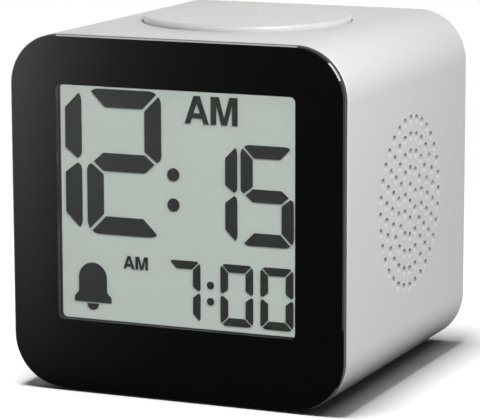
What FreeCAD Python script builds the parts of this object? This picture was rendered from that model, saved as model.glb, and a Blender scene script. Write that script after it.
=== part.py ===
import FreeCAD, Part
import math
import os

# A free-standing talking clock. A white cube case carries a glossy front plate with a liquid crystal
# display, a large round talk button on top, a loudspeaker behind a drilled grille on the right side,
# and keys, a sliding switch and a battery door at the back.
# Millimetres. The origin is the bottom centre, under the feet. +Z is up, the front faces -Y and the
# grille faces +X.

os.makedirs("parts", exist_ok=True)

Vector = FreeCAD.Vector
X_AXIS = Vector(1, 0, 0)
Y_AXIS = Vector(0, 1, 0)
Z_AXIS = Vector(0, 0, 1)

# Whole body
body_width = 80.0
body_height = 80.0
body_depth = 80.0
edge_radius = 12.0
case_wall = 2.2
foot_height = 0.6
fit_gap = 0.15
running_gap = 0.1
overrun = 5.0

# Limits within which an edge counts as straight along an axis, and two places as one
along_share = 0.999
same_place = 1e-6
straight_share = 1e-9

# Case
case_front_round = 0.5
case_rear_round = 0.8
corner_boss_radius = 3.2
corner_boss_length = 20.0
corner_boss_inset = 4.8

# Speaker grille: rings of holes about one in the middle
grille_radius = 19.2
grille_rings = 5
grille_hole_radius = 1.1

# Front plate
plate_thickness = 1.7
plate_inset = 0.15
plate_corner_radius = 11.5
plate_chamfer = 0.3
groove_width = 0.4
skirt_wall = 1.8
skirt_length = 5.0
window_side_border = 11.4
window_top_border = 11.15
window_bottom_border = 15.95
window_corner = 1.1

# Window lens, stepped so that its front lies flush in the window
lens_gap = 0.03
lens_flange_width = 1.5
lens_flange_thickness = 1.2

# Display stack, from the lens backwards
frame_lip = 0.8
frame_wall = 1.6
polariser_thickness = 0.2
glass_thickness = 0.7
cell_gap = 0.1
film_thickness = 0.2
glass_margin = 0.8
contact_ledge = 2.4
pocket_gap = 0.2
guide_thickness = 2.0
guide_stand = 2.1
guide_peg_radius = 1.2
led_length = 3.0
led_thickness = 1.4
led_height = 3.4
led_count = 2
strip_thickness = 1.8

# Boards and what they carry
board_thickness = 1.6
board_margin = 1.8
board_corner = 6.0
board_post_gap = 0.05
board_post_inset = 11.0
chip_side = 12.0
chip_height = 2.2
voice_chip_side = 9.0
crystal_length = 10.6
crystal_width = 4.4
crystal_height = 3.4
capacitor_radius = 2.5
capacitor_height = 7.0
capacitor_count = 3
capacitor_pitch = 7.0
capacitor_drop = 20.0
ribbon_width = 12.0
ribbon_thickness = 0.4
ribbon_overlap = 6.0
ribbon_side_gap = 2.6

# Screws
screw_shank_radius = 1.0
screw_head_radius = 1.9
screw_head_height = 1.3
screw_length = 5.0
screw_slot_width = 0.5
screw_slot_depth = 0.6
screw_hole_gap = 0.05
rear_screw_head_radius = 2.4
rear_screw_length = 10.0

# Talk button
button_radius = 23.9
button_rise = 1.4
button_round = 0.9
button_gap = 0.3
button_top_wall = 1.8
button_side_wall = 1.6
button_flange_width = 1.4
button_flange_thickness = 1.4
button_travel = 1.0
stem_radius = 2.0
spring_peg_radius = 1.5
spring_peg_length = 3.0
spring_circle_radius = 16.0
spring_count = 3
spring_wire_radius = 0.3
spring_turns = 6
spring_peg_gap = 0.25

# Carrier under the button
carrier_drop = 12.0
carrier_thickness = 1.8
carrier_end_gap = 4.95
carrier_side_gap = 0.2
carrier_corner = 4.0
carrier_screw_inset_x = 3.0
carrier_screw_inset_y = 4.5
carrier_boss_radius = 2.4
talk_board_length = 16.0
talk_board_width = 14.0
talk_board_thickness = 1.2

# Small push switches, the same under the talk button and the keys
switch_side = 6.0
switch_height = 3.5
switch_floor = 0.7
switch_plunger_radius = 1.7
switch_plunger_rise = 1.2
switch_edge_round = 0.3

# Rear cover
rear_recess = 1.5
cover_thickness = 1.8
cover_post_radius = 2.2
cover_post_gap = 6.1

# Keys
key_radius = 4.0
key_rise = 1.0
key_round = 0.5
key_gap = 0.2
key_flange_width = 1.0
key_flange_thickness = 1.2
key_travel = 0.8
key_pitch = 14.0
key_row_gap = 0.1
key_names = ("hour", "minute", "time", "alarm")
key_board_width = 57.0
key_board_head = 9.0
key_board_top_gap = 0.5
key_post_inset = 3.0

# Alarm switch
slider_travel = 4.0
slider_length = 5.0
slider_width = 3.8
slider_rise = 0.8
slider_gap = 0.2
slider_flange_length = 16.0
slider_flange_width = 7.2
slider_flange_thickness = 1.0
slider_tongue_length = 3.0
slider_tongue_width = 2.0
slider_body_length = 12.0
slider_body_width = 5.0
slider_body_height = 3.4
slider_body_floor = 1.0
slider_rib_count = 3
slider_rib_height = 0.3
slider_row_gap = 0.1

# Rows of the back, as shares of the height that is left free between the battery bay and the case's top
slider_spare_share = 0.34
key_row_spare_share = 0.14
key_board_foot_share = 0.345

# Batteries and their bay
battery_radius = 7.25
battery_length = 49.5
battery_nub_radius = 2.75
battery_nub_length = 1.0
battery_round = 0.6
battery_gap = 0.95
bay_wall_gap = 0.35
bay_wall = 1.5
battery_spring_length = 3.5
battery_spring_wire = 0.35
battery_spring_wide = 4.6
battery_spring_narrow = 2.4
battery_spring_turns = 3
contact_thickness = 0.4
contact_side = 10.0
bay_lift = 4.0

# Battery door
door_gap = 0.2
door_tab_width = 8.0
door_tab_drop = 1.6
door_tab_thickness = 1.4
door_tab_hold = 1.5
door_tab_spacing = 34.0
door_grip_width = 14.0
door_grip_height = 1.0
door_grip_depth = 0.7
door_grip_pitch = 2.2
door_grip_count = 3
door_grip_drop = 4.0

# Loudspeaker, from the grille inwards
speaker_face_gap = 0.2
basket_radius = 22.5
basket_flange_thickness = 1.0
basket_flange_width = 2.7
basket_back_radius = 10.0
basket_depth = 8.0
basket_wall = 0.8
surround_width = 3.3
cone_narrow_radius = 5.0
cone_depth = 4.4
cone_thickness = 0.4
surround_height = 0.9
surround_thickness = 0.3
dust_cap_height = 1.8
coil_radius = 4.8
coil_thickness = 0.3
coil_length = 5.5
top_plate_thickness = 1.5
magnet_radius = 10.5
magnet_thickness = 5.0
yoke_thickness = 1.6
pole_gap = 0.45
magnet_hole_gap = 1.2
locating_rib_wall = 1.2
speaker_boss_radius = 2.6
speaker_boss_length = 6.0
speaker_boss_reach = 4.1
clamp_ring_wall = 1.4
clamp_plate_thickness = 1.6
clamp_ear_radius = 2.8
clamp_angles = (45.0, 135.0, 270.0)

# Feet
foot_radius = 4.5
foot_pocket = 0.6
foot_side_inset = 19.0
foot_end_inset = 11.95
foot_round = 0.3

# Leads
lead_radius = 0.6
lead_bend = 4.0
lead_spacing = 1.8

# Display digits. Places and sizes are shares of the window: left, bottom, width, height.
hour_units_shares = (0.107, 0.367, 0.318, 0.616)
hour_tens_shares = (-0.233, 0.367, 0.318, 0.616)
minute_tens_shares = (0.524, 0.366, 0.218, 0.419)
minute_units_shares = (0.756, 0.366, 0.218, 0.419)
alarm_hour_shares = (0.451, 0.020, 0.136, 0.261)
alarm_tens_shares = (0.671, 0.020, 0.136, 0.261)
alarm_units_shares = (0.837, 0.020, 0.136, 0.261)
hour_stroke = 4.05
minute_stroke = 2.85
alarm_stroke = 1.8
stroke_gap_share = 0.12
stroke_round_share = 0.74
middle_tip_share = 0.09
# End of an upright stroke at the middle: in from its outer side, back from the gap, as shares of the stroke.
middle_end_shares = ((0.0, 0.36), (0.07, 0.13), (0.26, 0.0), (1.0, 0.57))
# Dots of the colons: across, up and radius, as shares of the window's width, height and width.
colon_shares = ((0.475, 0.640, 0.0255), (0.475, 0.513, 0.0255))
alarm_colon_shares = ((0.629, 0.185, 0.0150), (0.629, 0.116, 0.0150))
# Half-day letters: left, bottom, width, height as shares of the window.
large_letters_shares = (0.524, 0.859, 0.220, 0.116)
small_letters_shares = (0.259, 0.226, 0.105, 0.055)
letter_a_share = 0.46
letter_m_share = 0.505
letter_stroke_share = 0.225
letter_bar_low_share = 0.2
letter_bar_high_share = 0.38
letter_apex_share = 0.128
letter_notch_share = 0.24
letter_arm_share = 0.27
# Bell: centre across, bottom of the flare and height up to the dome's top, as shares of the window.
bell_middle_share = 0.126
bell_bottom_share = 0.070
bell_height_share = 0.170
bell_dome_share = 0.061
bell_flare_share = 0.080
bell_flare_height_share = 0.022
clapper_share = 0.025
clapper_drop_share = 0.006

# Levels and faces worked out from the sizes above
middle_z = foot_height + body_height / 2
top_z = foot_height + body_height
front_y = -body_depth / 2
rear_y = body_depth / 2
plate_back_y = front_y + plate_thickness
case_front_y = plate_back_y + groove_width
case_middle_y = (case_front_y + rear_y) / 2
inner_width = body_width - 2 * case_wall
inner_height = body_height - 2 * case_wall
inner_radius = edge_radius - case_wall
inner_side_x = inner_width / 2
inner_top_z = top_z - case_wall
inner_bottom_z = foot_height + case_wall
window_width = body_width - 2 * window_side_border
window_height = body_height - window_top_border - window_bottom_border
window_z = foot_height + window_bottom_border + window_height / 2
window_left = -window_width / 2
window_bottom = window_z - window_height / 2
foot_x = body_width / 2 - foot_side_inset
foot_y = (rear_y - case_front_y) / 2 - foot_end_inset

lens_back_y = plate_back_y + lens_flange_thickness
polariser_y = lens_back_y + frame_lip
front_glass_y = polariser_y + polariser_thickness
cell_y = front_glass_y + glass_thickness
rear_glass_y = cell_y + cell_gap
film_y = rear_glass_y + glass_thickness
guide_y = film_y + film_thickness
guide_back_y = guide_y + guide_thickness
board_y = guide_back_y + guide_stand
board_back_y = board_y + board_thickness
rear_glass_width = window_width + 2 * glass_margin
rear_glass_height = window_height + 2 * glass_margin
front_glass_height = rear_glass_height + 2 * contact_ledge
pocket_width = rear_glass_width + 2 * pocket_gap
pocket_height = front_glass_height + 2 * pocket_gap
frame_side_x = pocket_width / 2 + frame_wall
skirt_inner_x = inner_side_x - fit_gap - skirt_wall
board_width = inner_width - 2 * board_margin
board_height = inner_height - 2 * board_margin
board_post_radius = (skirt_inner_x - frame_side_x - fit_gap - board_post_gap) / 2

cover_face_y = rear_y - rear_recess
cover_inner_y = cover_face_y - cover_thickness
key_board_back_y = cover_inner_y - cover_post_gap
key_board_y = key_board_back_y - board_thickness

button_top_z = top_z + button_rise
button_ceiling_z = button_top_z - button_top_wall
button_flange_top_z = inner_top_z - running_gap
button_bottom_z = button_flange_top_z - button_flange_thickness
carrier_top_z = button_ceiling_z - carrier_drop
carrier_bottom_z = carrier_top_z - carrier_thickness
talk_board_top_z = carrier_top_z + talk_board_thickness
talk_plunger_top_z = talk_board_top_z + switch_height + switch_plunger_rise

bay_inner_height = 4 * battery_radius + battery_gap + 2 * bay_wall_gap
bay_inner_bottom_z = inner_bottom_z + bay_lift + bay_wall
bay_inner_top_z = bay_inner_bottom_z + bay_inner_height
lower_battery_z = bay_inner_bottom_z + bay_wall_gap + battery_radius
upper_battery_z = lower_battery_z + 2 * battery_radius + battery_gap
battery_whole_length = battery_length + battery_nub_length
bay_inner_length = battery_whole_length + battery_spring_length + 2 * contact_thickness
battery_y = cover_inner_y - bay_wall_gap - battery_radius
bay_floor_y = battery_y - battery_radius - bay_wall_gap
bay_top_z = bay_inner_top_z + bay_wall
door_bottom_z = bay_inner_bottom_z + door_gap
door_top_z = bay_inner_top_z - door_gap

# Rows of the back, from the bay upwards: the sliding switch, then the keys
slider_room = slider_flange_width / 2 + slider_row_gap
key_flange_radius = key_radius + key_flange_width
key_row_room = slider_room + key_flange_radius + key_row_gap
rows_spare = inner_top_z - key_board_top_gap - key_board_head - bay_top_z - slider_room - key_row_room
slider_z = bay_top_z + slider_room + rows_spare * slider_spare_share
key_row_z = slider_z + key_row_room + rows_spare * key_row_spare_share
key_board_top_z = key_row_z + key_board_head
key_board_bottom_z = bay_top_z + (slider_z - bay_top_z) * key_board_foot_share
key_board_height = key_board_top_z - key_board_bottom_z
key_board_z = (key_board_top_z + key_board_bottom_z) / 2

# The loudspeaker, from its face inwards
basket_mouth_radius = basket_radius - basket_flange_width
cone_wide_radius = basket_mouth_radius - surround_width
speaker_boss_circle = basket_radius + speaker_boss_reach
speaker_face_x = inner_side_x - speaker_face_gap
basket_flange_x = speaker_face_x - basket_flange_thickness
basket_back_x = basket_flange_x - basket_depth
top_plate_x = basket_back_x - top_plate_thickness
magnet_x = top_plate_x - magnet_thickness
yoke_x = magnet_x - yoke_thickness
pole_radius = coil_radius - coil_thickness - pole_gap
magnet_hole_radius = coil_radius + magnet_hole_gap
plate_hole_radius = coil_radius + coil_thickness + pole_gap
speaker_boss_x = inner_side_x - speaker_boss_length
clamp_back_x = speaker_boss_x - clamp_plate_thickness

# The carrier ends before the screws of the speaker's clamp, and before the key board
carrier_width = 2 * (clamp_back_x - screw_head_height - carrier_side_gap)
carrier_length = 2 * (key_board_y - carrier_end_gap - case_middle_y)
carrier_screw_x = carrier_width / 2 - carrier_screw_inset_x
carrier_screw_y = carrier_length / 2 - carrier_screw_inset_y


def save(name, shape):
    """Writes one node after a check that its solids are sound."""
    if not shape.isValid() or not shape.Solids:
        raise ValueError(name + " is not a sound solid")
    shape.exportStep("parts/" + name + ".step")


def block(x_low, x_high, y_low, y_high, z_low, z_high):
    return Part.makeBox(x_high - x_low, y_high - y_low, z_high - z_low, Vector(x_low, y_low, z_low))


def centred_block(width, height, y_low, y_high, x_middle, z_middle):
    """A block given by its front view and its two faces in depth."""
    return block(
        x_middle - width / 2, x_middle + width / 2, y_low, y_high, z_middle - height / 2,
        z_middle + height / 2
    )


def rounded_slab(width, height, radius, y_low, y_high, z_middle=middle_z, x_middle=0):
    """A slab whose front view is a rectangle with round corners."""
    slab = centred_block(width, height, y_low, y_high, x_middle, z_middle)
    return slab.makeFillet(radius, [edge for edge in slab.Edges if edge_runs_along(edge, Y_AXIS)])


def edge_runs_along(edge, axis):
    if len(edge.Vertexes) < 2:
        return False
    span = edge.Vertexes[1].Point - edge.Vertexes[0].Point
    return abs(span.dot(axis)) > along_share * span.Length


def edges_at(shape, axis, level):
    """The edges of a shape that lie in the plane at a level along an axis."""
    found = []
    for edge in shape.Edges:
        places = [
            edge.valueAt(edge.FirstParameter), edge.valueAt((edge.FirstParameter + edge.LastParameter) / 2)
        ]
        if all(abs(place.dot(axis) - level) < same_place for place in places):
            found.append(edge)
    return found


def rod(radius, start, end):
    """A round rod between two points."""
    run = end - start
    return Part.makeCylinder(radius, run.Length, start, run)


def rod_x(radius, x_low, x_high, y, z):
    return Part.makeCylinder(radius, x_high - x_low, Vector(x_low, y, z), X_AXIS)


def rod_y(radius, y_low, y_high, x, z):
    return Part.makeCylinder(radius, y_high - y_low, Vector(x, y_low, z), Y_AXIS)


def rod_z(radius, z_low, z_high, x, y):
    return Part.makeCylinder(radius, z_high - z_low, Vector(x, y, z_low), Z_AXIS)


def fuse(shapes):
    return shapes[0].multiFuse(shapes[1:]).removeSplitter()


def turned_about_speaker(profile):
    """Turns a closed outline of (x, radius) points about the speaker's axis."""
    points = [Vector(x, radius, 0) for x, radius in profile]
    face = Part.Face(Part.makePolygon(points + points[:1]))
    solid = face.revolve(Vector(0, 0, 0), X_AXIS, 360)
    solid.translate(Vector(0, case_middle_y, middle_z))
    return solid


def four_places(x_offset, z_offset, z_middle=middle_z):
    return [(side * x_offset, z_middle + level * z_offset) for side in (-1, 1) for level in (-1, 1)]


def screw(head_place, direction, length, head_radius):
    """A slotted screw: head_place is the underside of its head, direction the way its point goes."""
    shank = Part.makeCylinder(screw_shank_radius, length)
    head = Part.makeCylinder(head_radius, screw_head_height, Vector(0, 0, -screw_head_height))
    slot = Part.makeBox(
        2 * head_radius, screw_slot_width, screw_slot_depth,
        Vector(-head_radius, -screw_slot_width / 2, -screw_head_height),
    )
    whole = shank.fuse(head).removeSplitter().cut(slot)
    turn = FreeCAD.Rotation(Z_AXIS, direction)
    whole.Placement = FreeCAD.Placement(head_place, turn)
    return whole


def pilot(head_place, direction):
    """The hole that a screw's shank sits in."""
    run = Vector(direction).normalize() * (screw_length + screw_hole_gap)
    return rod(screw_shank_radius + screw_hole_gap, head_place, head_place + run)


# Places of the screws
corner_boss_x = inner_side_x - corner_boss_inset
corner_boss_z = inner_height / 2 - corner_boss_inset
board_post_x = frame_side_x + fit_gap + board_post_radius
plate_posts = four_places(board_post_x, board_height / 2 - board_post_inset)
key_posts = four_places(
    key_board_width / 2 - key_post_inset, key_board_height / 2 - key_post_inset, key_board_z
)
carrier_posts = [
    (sx * carrier_screw_x, case_middle_y + sy * carrier_screw_y) for sx in (-1, 1) for sy in (-1, 1)
]
speaker_posts = [
    (
        case_middle_y + speaker_boss_circle * math.cos(math.radians(angle)),
        middle_z + speaker_boss_circle * math.sin(math.radians(angle)),
    )
    for angle in clamp_angles
]


def grille_places():
    """Holes on rings: one, then six, then 6n + 2 on the n-th ring, the first of each ring on top."""
    places = [(case_middle_y, middle_z)]
    for ring in range(1, grille_rings + 1):
        count = 6 if ring == 1 else 6 * ring + 2
        radius = grille_radius * ring / grille_rings
        for number in range(count):
            angle = math.pi / 2 + 2 * math.pi * number / count
            places.append((case_middle_y + radius * math.cos(angle), middle_z + radius * math.sin(angle)))
    return places


def foot_places():
    """Each foot's name and its place on the underside."""
    places = []
    for row_name, row in (("front", -1), ("rear", 1)):
        for side_name, side in (("left", -1), ("right", 1)):
            name = "foot_" + row_name + "_" + side_name
            places.append((name, side * foot_x, case_middle_y + row * foot_y))
    return places


def make_case_shell():
    outer = rounded_slab(body_width, body_height, edge_radius, case_front_y, rear_y)
    outer = outer.makeFillet(case_front_round, edges_at(outer, Y_AXIS, case_front_y))
    outer = outer.makeFillet(case_rear_round, edges_at(outer, Y_AXIS, rear_y))
    hollow = rounded_slab(inner_width, inner_height, inner_radius, case_front_y - overrun, rear_y + overrun)
    walls = outer.cut(hollow)
    bosses = []
    for x, z in four_places(corner_boss_x, corner_boss_z):
        bosses.append(rod_y(corner_boss_radius, cover_inner_y - corner_boss_length, cover_inner_y, x, z))
        web_x = (math.copysign(inner_side_x, x) + x) / 2
        web_z = (middle_z + math.copysign(inner_height / 2, z - middle_z) + z) / 2
        bosses.append(
            centred_block(
                corner_boss_inset, 2 * case_wall, cover_inner_y - corner_boss_length, cover_inner_y,
                web_x, z,
            ).common(outer)
        )
        bosses.append(
            centred_block(
                2 * case_wall, corner_boss_inset, cover_inner_y - corner_boss_length, cover_inner_y,
                x, web_z,
            ).common(outer)
        )
    for x, y in carrier_posts:
        bosses.append(
            rod_z(carrier_boss_radius, carrier_top_z, inner_top_z + case_wall / 2, x, y).common(outer)
        )
    for y, z in speaker_posts:
        bosses.append(rod_x(speaker_boss_radius, speaker_boss_x, inner_side_x + case_wall / 2, y, z))
    rib = rod_x(
        basket_radius + fit_gap + locating_rib_wall, basket_flange_x, inner_side_x + case_wall / 2,
        case_middle_y, middle_z,
    )
    rib = rib.cut(
        rod_x(
            basket_radius + fit_gap, basket_flange_x - overrun, inner_side_x + overrun, case_middle_y,
            middle_z
        )
    )
    shell = fuse([walls, rib.common(outer)] + bosses)
    cuts = [
        rod_z(button_radius + button_gap, inner_top_z - overrun, top_z + overrun, 0, case_middle_y).common(
            block(
                -body_width, body_width, -body_depth, body_depth, inner_top_z - case_wall / 2,
                top_z + overrun
            )
        )
    ]
    for y, z in grille_places():
        cuts.append(rod_x(grille_hole_radius, inner_side_x - case_wall, inner_side_x + overrun, y, z))
    for x, z in four_places(corner_boss_x, corner_boss_z):
        depth = rear_screw_length - cover_thickness + screw_hole_gap
        cuts.append(
            rod_y(screw_shank_radius + screw_hole_gap, cover_inner_y - depth, cover_inner_y + overrun, x, z)
        )
    for x, y in carrier_posts:
        cuts.append(pilot(Vector(x, y, carrier_bottom_z), Z_AXIS))
    for y, z in speaker_posts:
        cuts.append(pilot(Vector(clamp_back_x, y, z), X_AXIS))
    for name, x, y in foot_places():
        cuts.append(
            rod_z(foot_radius + fit_gap, foot_height - overrun, foot_height + foot_pocket, x, y)
        )
    return shell.cut(Part.makeCompound(cuts))


def make_front_plate():
    plate = rounded_slab(
        body_width - 2 * plate_inset, body_height - 2 * plate_inset, plate_corner_radius, front_y,
        plate_back_y
    )
    plate = plate.makeChamfer(plate_chamfer, edges_at(plate, Y_AXIS, front_y))
    skirt_width = inner_width - 2 * fit_gap
    skirt_height = inner_height - 2 * fit_gap
    skirt_radius = inner_radius - fit_gap
    skirt_end = plate_back_y + skirt_length
    skirt = rounded_slab(skirt_width, skirt_height, skirt_radius, plate_back_y, skirt_end)
    hollow = rounded_slab(
        skirt_width - 2 * skirt_wall, skirt_height - 2 * skirt_wall, skirt_radius - skirt_wall,
        plate_back_y, skirt_end + overrun,
    )
    window = rounded_slab(
        window_width, window_height, window_corner, front_y - overrun, plate_back_y + overrun, window_z
    )
    posts = [rod_y(board_post_radius, plate_back_y, board_y, x, z) for x, z in plate_posts]
    whole = fuse([plate, skirt.cut(hollow)] + posts).cut(window)
    return whole.cut(
        Part.makeCompound([pilot(Vector(x, board_back_y, z), -Y_AXIS)
        for x, z in plate_posts])
    )


def make_window_lens():
    face = rounded_slab(
        window_width - 2 * lens_gap, window_height - 2 * lens_gap, window_corner - lens_gap,
        front_y, plate_back_y + lens_flange_thickness / 2, window_z,
    )
    flange = centred_block(
        window_width + 2 * lens_flange_width, window_height + 2 * lens_flange_width,
        plate_back_y, lens_back_y, 0, window_z,
    )
    return fuse([face, flange])


def make_display_frame():
    outer = centred_block(
        pocket_width + 2 * frame_wall, pocket_height + 2 * frame_wall, lens_back_y, board_y, 0, window_z
    )
    outer = outer.makeFillet(frame_wall, [edge for edge in outer.Edges if edge_runs_along(edge, Y_AXIS)])
    pocket = centred_block(pocket_width, pocket_height, polariser_y, board_y + overrun, 0, window_z)
    window = rounded_slab(
        window_width, window_height, window_corner, lens_back_y - overrun, polariser_y + overrun, window_z
    )
    return outer.cut(pocket).cut(window)


def make_light_guide():
    width = rear_glass_width - led_height
    middle = (rear_glass_width - width) / 2
    guide = centred_block(width, rear_glass_height, guide_y, guide_back_y, middle, window_z)
    pegs = []
    for x, z in four_places(
        width / 2 - 2 * guide_peg_radius, rear_glass_height / 2 - 2 * guide_peg_radius, window_z
    ):
        pegs.append(rod_y(guide_peg_radius, guide_back_y - guide_thickness / 2, board_y, x + middle, z))
    return fuse([guide] + pegs)


def make_backlight_leds():
    leds = []
    x_middle = -rear_glass_width / 2 + led_thickness / 2 + pocket_gap
    for number in range(led_count):
        z_middle = window_bottom + window_height * (2 * number + 1) / (2 * led_count)
        leds.append(
            centred_block(led_thickness, led_length, board_y - led_height, board_y, x_middle, z_middle)
        )
    return Part.makeCompound(leds)


def make_zebra_strips():
    strips = []
    for side in (-1, 1):
        z_middle = window_z + side * (front_glass_height / 2 - contact_ledge / 2)
        strips.append(centred_block(window_width, strip_thickness, cell_y, board_y, 0, z_middle))
    return Part.makeCompound(strips)


def make_display_board():
    board = centred_block(board_width, board_height, board_y, board_back_y, 0, middle_z)
    board = board.makeChamfer(board_corner, [edge for edge in board.Edges if edge_runs_along(edge, Y_AXIS)])
    holes = [
        rod_y(screw_shank_radius + running_gap, board_y - overrun, board_back_y + overrun, x, z)
        for x, z in plate_posts
    ]
    return board.cut(Part.makeCompound(holes))


def make_capacitors():
    cans = []
    for number in range(capacitor_count):
        x = (number + 1 / 2) * capacitor_pitch
        z = middle_z - capacitor_drop
        cans.append(rod_y(capacitor_radius, board_back_y, board_back_y + capacitor_height, x, z))
    return Part.makeCompound(cans)


def make_ribbon_cable():
    """A flat strip from the display board, back along the left wall, to the key board."""
    outer_x = -inner_side_x + ribbon_side_gap
    end_x = -key_board_width / 2 + ribbon_overlap
    strip = block(
        outer_x, end_x, board_back_y, key_board_y, key_board_z - ribbon_width / 2,
        key_board_z + ribbon_width / 2
    )
    strip = strip.makeFillet(
        2 * ribbon_thickness,
        [
            edge for edge in strip.Edges
            if edge_runs_along(edge, Z_AXIS) and abs(edge.Vertexes[0].X - outer_x) < fit_gap
        ],
    )
    inside = block(
        outer_x + ribbon_thickness, end_x + overrun, board_back_y + ribbon_thickness,
        key_board_y - ribbon_thickness,
        key_board_z - ribbon_width, key_board_z + ribbon_width,
    )
    return strip.cut(inside)


def closed_outline(points):
    return Part.Face(Part.makePolygon(points + points[:1]))


def display_slab(face):
    """Gives a flat figure in the display's plane the thickness of the crystal cell."""
    return face.extrude(Y_AXIS * cell_gap)


def display_point(x, z):
    return Vector(x, cell_y, z)


def window_place(x_share, z_share):
    return window_left + window_width * x_share, window_bottom + window_height * z_share


def seven_strokes(cell_shares, stroke, lit):
    """The lit strokes of one digit. Letters a to g go clockwise from the top, g is the middle."""
    left, bottom = window_place(cell_shares[0], cell_shares[1])
    right = left + window_width * cell_shares[2]
    top = bottom + window_height * cell_shares[3]
    middle = (top + bottom) / 2
    gap = stroke * stroke_gap_share
    tip = stroke * middle_tip_share
    outlines = []
    for name, edge, inwards in (("a", top, -1), ("d", bottom, 1)):
        if name in lit:
            inner = edge + inwards * stroke
            outlines.append([
                (left + gap, edge),
                (right - gap, edge),
                (right - stroke - gap, inner),
                (left + stroke + gap, inner),
            ])
    sides = (
        ("f", left, 1, top, -1), ("b", right, -1, top, -1), ("e", left, 1, bottom, 1),
        ("c", right, -1, bottom, 1)
    )
    for name, side, inwards, end, way in sides:
        if name in lit:
            middle_end = [
                (side + inwards * stroke * in_share, middle - way * (gap + stroke * back_share))
                for in_share, back_share in middle_end_shares
            ]
            far_corner = (side + inwards * stroke, end + way * (stroke + gap))
            outlines.append([(side, end + way * gap), *middle_end, far_corner])
    if "g" in lit:
        outlines.append([
            (left + stroke / 2 - tip, middle),
            (left + stroke, middle + stroke / 2),
            (right - stroke, middle + stroke / 2),
            (right - stroke / 2 + tip, middle),
            (right - stroke, middle - stroke / 2),
            (left + stroke, middle - stroke / 2),
        ])
    cell = rounded_slab(
        right - left, top - bottom, stroke * stroke_round_share, cell_y, rear_glass_y, middle, (
            left + right
        ) / 2
    )
    return [
        display_slab(closed_outline([display_point(x, z) for x, z in outline])).common(cell).Solids[0]
        for outline in outlines
    ]


def dots(places_shares):
    figures = []
    for x_share, z_share, radius_share in places_shares:
        x, z = window_place(x_share, z_share)
        figures.append(rod_y(window_width * radius_share, cell_y, cell_y + cell_gap, x, z))
    return figures


def half_day_letters(cell_shares):
    """The letters A and M side by side, each from straight strokes."""
    left, bottom = window_place(cell_shares[0], cell_shares[1])
    width = window_width * cell_shares[2]
    height = window_height * cell_shares[3]
    top = bottom + height
    a_width = width * letter_a_share
    stroke = a_width * letter_stroke_share
    a_middle = left + a_width / 2
    half_apex = a_width * letter_apex_share
    slope = (a_width / 2 - half_apex) / height
    bar_low = bottom + height * letter_bar_low_share
    bar_high = bottom + height * letter_bar_high_share

    def inner_half(z):
        return a_width / 2 - stroke - slope * (z - bottom)

    a_outline = closed_outline([
        display_point(left, bottom),
        display_point(a_middle - half_apex, top),
        display_point(a_middle + half_apex, top),
        display_point(left + a_width, bottom),
        display_point(left + a_width - stroke, bottom),
        display_point(a_middle + inner_half(bar_low), bar_low),
        display_point(a_middle - inner_half(bar_low), bar_low),
        display_point(left + stroke, bottom),
    ])
    peak = bottom + (a_width / 2 - stroke) / slope
    a_hole = closed_outline([
        display_point(a_middle - inner_half(bar_high), bar_high),
        display_point(a_middle, peak),
        display_point(a_middle + inner_half(bar_high), bar_high),
    ])
    right = left + width
    m_left = right - width * letter_m_share
    m_middle = (m_left + right) / 2
    notch = bottom + height * letter_notch_share
    half_stroke = stroke / 2
    arm = top - height * letter_arm_share
    m_outline = closed_outline([
        display_point(m_left, bottom),
        display_point(m_left, top),
        display_point(m_left + stroke + half_stroke, top),
        display_point(m_middle, notch),
        display_point(right - stroke - half_stroke, top),
        display_point(right, top),
        display_point(right, bottom),
        display_point(right - stroke, bottom),
        display_point(right - stroke, arm),
        display_point(m_middle + half_stroke, bottom),
        display_point(m_middle - half_stroke, bottom),
        display_point(m_left + stroke, arm),
        display_point(m_left + stroke, bottom),
    ])
    return [display_slab(a_outline.cut(a_hole).Faces[0]), display_slab(m_outline)]


def bell_figures():
    """A bell: a half-round dome on straight sides, a flared rim and a half-round clapper."""
    middle, bottom = window_place(bell_middle_share, bell_bottom_share)
    dome = window_width * bell_dome_share
    flare = window_width * bell_flare_share
    rim = window_height * bell_flare_height_share
    top = bottom + window_height * bell_height_share
    shoulder = top - dome
    waist = bottom + 2 * rim
    edges = [
        Part.Arc(
            display_point(
                middle - dome, shoulder
            ), display_point(middle, top), display_point(middle + dome, shoulder)
        ).toShape(),
        Part.makeLine(display_point(middle + dome, shoulder), display_point(middle + dome, waist)),
        Part.makeLine(display_point(middle + dome, waist), display_point(middle + flare, bottom + rim)),
        Part.makeLine(display_point(middle + flare, bottom + rim), display_point(middle + flare, bottom)),
        Part.makeLine(display_point(middle + flare, bottom), display_point(middle - flare, bottom)),
        Part.makeLine(display_point(middle - flare, bottom), display_point(middle - flare, bottom + rim)),
        Part.makeLine(display_point(middle - flare, bottom + rim), display_point(middle - dome, waist)),
        Part.makeLine(display_point(middle - dome, waist), display_point(middle - dome, shoulder)),
    ]
    bell = display_slab(Part.Face(Part.Wire(edges)))
    radius = window_width * clapper_share
    level = bottom - window_height * clapper_drop_share
    clapper = rod_y(radius, cell_y, cell_y + cell_gap, middle, level)
    below = centred_block(2 * radius, radius, cell_y, cell_y + cell_gap, middle, level - radius / 2)
    return [bell, clapper.common(below)]


def make_lcd_segments():
    figures = seven_strokes(hour_tens_shares, hour_stroke, "bc")
    figures += seven_strokes(hour_units_shares, hour_stroke, "abged")
    figures += dots(colon_shares)
    figures += seven_strokes(minute_tens_shares, minute_stroke, "bc")
    figures += seven_strokes(minute_units_shares, minute_stroke, "afgcd")
    figures += seven_strokes(alarm_hour_shares, alarm_stroke, "abc")
    figures += dots(alarm_colon_shares)
    figures += seven_strokes(alarm_tens_shares, alarm_stroke, "abcdef")
    figures += seven_strokes(alarm_units_shares, alarm_stroke, "abcdef")
    figures += half_day_letters(large_letters_shares)
    figures += half_day_letters(small_letters_shares)
    figures += bell_figures()
    return Part.makeCompound(figures)


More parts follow.
